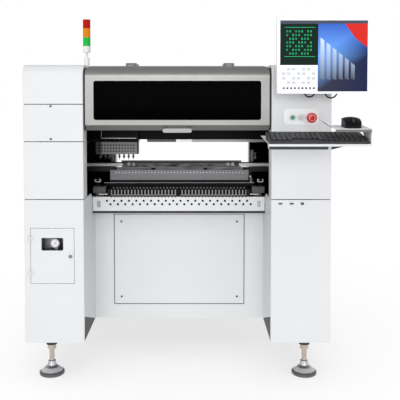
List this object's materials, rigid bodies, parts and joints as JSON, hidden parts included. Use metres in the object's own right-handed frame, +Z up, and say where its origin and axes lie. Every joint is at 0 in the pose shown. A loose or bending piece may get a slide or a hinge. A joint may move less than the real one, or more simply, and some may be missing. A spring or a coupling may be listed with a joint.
{
  "type": "surface mount pick and place machine",
  "caption": "Floor-standing SMT pick and place machine with opening hoods, feeder banks, board conveyor, gantry head with nozzles and an operator's console.",
  "frame": {"origin": "on the floor under the middle of the whole machine's bounding box, console included", "axes": "+X to the right as the operator faces the machine, +Y towards the rear, +Z up"},
  "size_m": [1.338, 1.5359, 1.5],
  "materials": {
    "cover_white": "satin powder coat",
    "panel_white": "satin powder coat",
    "frame_grey": "satin paint",
    "bed_black": "satin paint",
    "ground_steel": "ground",
    "hood_grey": "satin paint",
    "smoked_window": "smoked, glossy",
    "handle_grey": "satin anodised",
    "feeder_grey": "satin paint",
    "stop_grey": "matt paint",
    "rail_aluminium": "anodised",
    "tower_white": "satin",
    "lamp_red": "translucent",
    "lamp_amber": "translucent",
    "lamp_green": "translucent",
    "bracket_grey": "satin paint",
    "monitor_white": "satin",
    "screen_glass": "glossy",
    "cable_black": "matt",
    "plastic_black": "matt",
    "wheel_grey": "matt",
    "button_green": "glossy",
    "button_white": "glossy",
    "button_red": "glossy",
    "lock_steel": "polished",
    "regulator_metal": "cast",
    "foot_chrome": "polished",
    "head_black": "satin paint",
    "head_grey": "bead blasted",
    "nozzle_steel": "polished"
  },
  "bodies": {
    "base": {"base_frame": "frame_grey", "left_lower_cover": "cover_white", "left_middle_cover": "cover_white", "left_hatch_cover": "cover_white", "left_top_cover": "cover_white", "right_lower_cover": "cover_white", "right_upper_cover": "cover_white", "base_panels": "panel_white", "access_panels": "panel_white", "machine_bed": "bed_black", "y_rails": "ground_steel", "hinge_beam": "frame_grey", "feeder_plates": "cover_white", "feeder_beds": "feeder_grey", "feeder_stops": "stop_grey", "fixed_rail": "rail_aluminium", "board_camera": "plastic_black", "tower_stand": "tower_white", "tower_red": "lamp_red", "tower_amber": "lamp_amber", "tower_green": "lamp_green", "console_brackets": "bracket_grey", "control_plate": "monitor_white", "air_regulator": "regulator_metal", "levelling_feet": "foot_chrome", "service_ports": "plastic_black"},
    "front_hood": {"front_hood": "hood_grey", "front_hood_window": "smoked_window", "front_hood_handle": "handle_grey"},
    "rear_hood": {"rear_hood": "hood_grey", "rear_hood_window": "smoked_window", "rear_hood_handle": "handle_grey"},
    "gantry": {"x_beam": "head_black"},
    "head": {"head_frame": "head_black", "head_cover": "head_grey"},
    "nozzle_1": {"nozzle_1": "nozzle_steel"},
    "nozzle_2": {"nozzle_2": "nozzle_steel"},
    "nozzle_3": {"nozzle_3": "nozzle_steel"},
    "nozzle_4": {"nozzle_4": "nozzle_steel"},
    "nozzle_5": {"nozzle_5": "nozzle_steel"},
    "nozzle_6": {"nozzle_6": "nozzle_steel"},
    "nozzle_7": {"nozzle_7": "nozzle_steel"},
    "nozzle_8": {"nozzle_8": "nozzle_steel"},
    "moving_rail": {"moving_rail": "rail_aluminium"},
    "width_screw": {"width_screw": "ground_steel"},
    "drive_shaft": {"drive_shaft": "ground_steel"},
    "monitor_arm": {"monitor_arm": "bracket_grey"},
    "monitor": {"monitor_case": "monitor_white", "monitor_screen": "screen_glass", "monitor_cables": "cable_black"},
    "tray": {"keyboard_tray": "cover_white", "keyboard": "plastic_black", "mouse": "plastic_black"},
    "mouse_wheel": {"mouse_wheel": "wheel_grey"},
    "start_button": {"start_button": "button_green"},
    "reset_button": {"reset_button": "button_white"},
    "stop_button": {"stop_button": "button_red"},
    "access_door": {"access_door": "cover_white"},
    "door_lock": {"door_lock": "lock_steel"},
    "main_switch": {"main_switch": "button_red"}
  },
  "joints": [
    {"name": "front_hood_hinge", "type": "hinge", "parent": "base", "child": "front_hood", "pos_m": [-0.059, 0.084, 1.29], "axis": [-1, 0, 0], "range_deg": [0, 75]},
    {"name": "rear_hood_hinge", "type": "hinge", "parent": "base", "child": "rear_hood", "pos_m": [-0.059, 0.204, 1.29], "axis": [1, 0, 0], "range_deg": [0, 75]},
    {"name": "gantry_slide", "type": "slide", "parent": "base", "child": "gantry", "axis": [0, 1, 0], "range_m": [-0.33, 0.48]},
    {"name": "head_slide", "type": "slide", "parent": "gantry", "child": "head", "axis": [1, 0, 0], "range_m": [-0.08, 0.66]},
    {"name": "nozzle_1_slide", "type": "slide", "parent": "head", "child": "nozzle_1", "axis": [0, 0, 1], "range_m": [-0.033, 0.005]},
    {"name": "nozzle_2_slide", "type": "slide", "parent": "head", "child": "nozzle_2", "axis": [0, 0, 1], "range_m": [-0.033, 0.005]},
    {"name": "nozzle_3_slide", "type": "slide", "parent": "head", "child": "nozzle_3", "axis": [0, 0, 1], "range_m": [-0.033, 0.005]},
    {"name": "nozzle_4_slide", "type": "slide", "parent": "head", "child": "nozzle_4", "axis": [0, 0, 1], "range_m": [-0.033, 0.005]},
    {"name": "nozzle_5_slide", "type": "slide", "parent": "head", "child": "nozzle_5", "axis": [0, 0, 1], "range_m": [-0.033, 0.005]},
    {"name": "nozzle_6_slide", "type": "slide", "parent": "head", "child": "nozzle_6", "axis": [0, 0, 1], "range_m": [-0.033, 0.005]},
    {"name": "nozzle_7_slide", "type": "slide", "parent": "head", "child": "nozzle_7", "axis": [0, 0, 1], "range_m": [-0.033, 0.005]},
    {"name": "nozzle_8_slide", "type": "slide", "parent": "head", "child": "nozzle_8", "axis": [0, 0, 1], "range_m": [-0.033, 0.005]},
    {"name": "rail_slide", "type": "slide", "parent": "base", "child": "moving_rail", "axis": [0, 1, 0], "range_m": [-0.18, 0.05]},
    {"name": "width_screw_turn", "type": "hinge", "parent": "base", "child": "width_screw", "pos_m": [-0.059, 0.144, 0.787], "axis": [0, 1, 0], "range_deg": [-6485, 1805]},
    {"name": "drive_shaft_turn", "type": "hinge", "parent": "base", "child": "drive_shaft", "pos_m": [-0.259, 0.144, 0.787], "axis": [0, 1, 0], "continuous": true},
    {"name": "monitor_swivel", "type": "hinge", "parent": "base", "child": "monitor_arm", "pos_m": [0.4945, -0.473, 1.2], "axis": [0, 0, 1], "range_deg": [-15, 15]},
    {"name": "monitor_tilt", "type": "hinge", "parent": "monitor_arm", "child": "monitor", "pos_m": [0.4945, -0.484, 1.2975], "axis": [1, 0, 0], "range_deg": [-10, 10]},
    {"name": "tray_fold", "type": "hinge", "parent": "base", "child": "tray", "pos_m": [0.432, -0.471, 0.982], "axis": [1, 0, 0], "range_deg": [0, 75]},
    {"name": "mouse_wheel_turn", "type": "hinge", "parent": "tray", "child": "mouse_wheel", "pos_m": [0.57, -0.72996, 1.05084], "axis": [1, 0, 0], "continuous": true},
    {"name": "start_button_press", "type": "slide", "parent": "base", "child": "start_button", "axis": [0, 1, 0], "range_m": [0, 0.003], "stiffness_N_per_m": 500, "springref_m": -0.001},
    {"name": "reset_button_press", "type": "slide", "parent": "base", "child": "reset_button", "axis": [0, 1, 0], "range_m": [0, 0.003], "stiffness_N_per_m": 500, "springref_m": -0.001},
    {"name": "stop_button_press", "type": "slide", "parent": "base", "child": "stop_button", "axis": [0, 1, 0], "range_m": [0, 0.005], "stiffness_N_per_m": 800, "springref_m": -0.002},
    {"name": "access_door_hinge", "type": "hinge", "parent": "base", "child": "access_door", "pos_m": [-0.645, -0.4548, 0.5075], "axis": [0, 0, -1], "range_deg": [0, 110]},
    {"name": "door_lock_turn", "type": "hinge", "parent": "access_door", "child": "door_lock", "pos_m": [-0.485, -0.451, 0.505], "axis": [0, 1, 0], "range_deg": [0, 90]},
    {"name": "main_switch_turn", "type": "hinge", "parent": "base", "child": "main_switch", "pos_m": [0.432, 0.739, 1], "axis": [0, 1, 0], "range_deg": [0, 90]}
  ],
  "couplings": [
    {"joint": "width_screw_turn", "follows": "rail_slide", "rad_per_m": 628.32}
  ]
}
